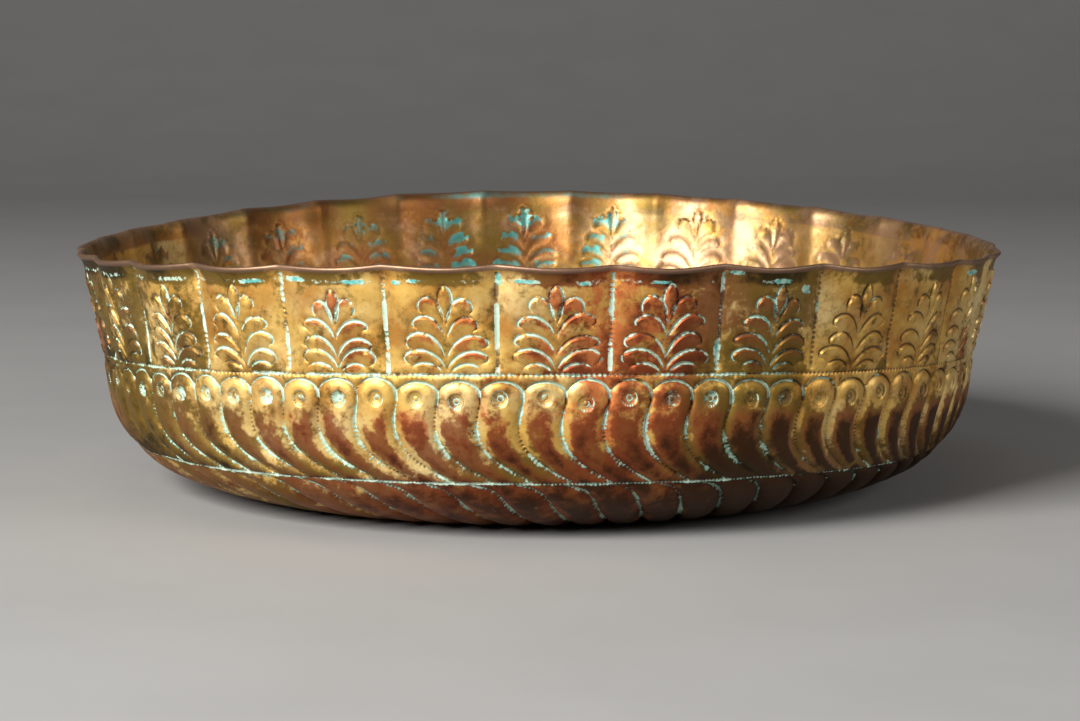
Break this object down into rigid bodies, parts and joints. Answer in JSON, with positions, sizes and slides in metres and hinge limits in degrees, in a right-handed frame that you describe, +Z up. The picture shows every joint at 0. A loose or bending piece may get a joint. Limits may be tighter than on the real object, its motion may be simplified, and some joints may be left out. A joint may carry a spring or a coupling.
{
  "type": "bath bowl",
  "caption": "Low round metal bath bowl for pouring water, with a lobed out-turned lip, chased frieze, swept gadroons and a riveted central boss over a finger hollow.",
  "frame": {"origin": "middle of the flat underside that the bowl stands on", "axes": "+Z up out of the bowl's mouth, -Y towards the viewer of the picture, +X to that viewer's right"},
  "size_m": [0.1998, 0.1998, 0.0563],
  "materials": {
    "gilt_copper": "hand-chased gilt copper, worn to red copper, with brown patina and pale green verdigris in the lines",
    "boss_gilt": "rubbed gilt copper",
    "rivet_copper": "hammered bare copper"
  },
  "bodies": {
    "root": {"bowl_shell": "gilt_copper", "boss_cap": "boss_gilt", "boss_rivet": "rivet_copper", "rivet_rove": "rivet_copper"}
  },
  "joints": []
}
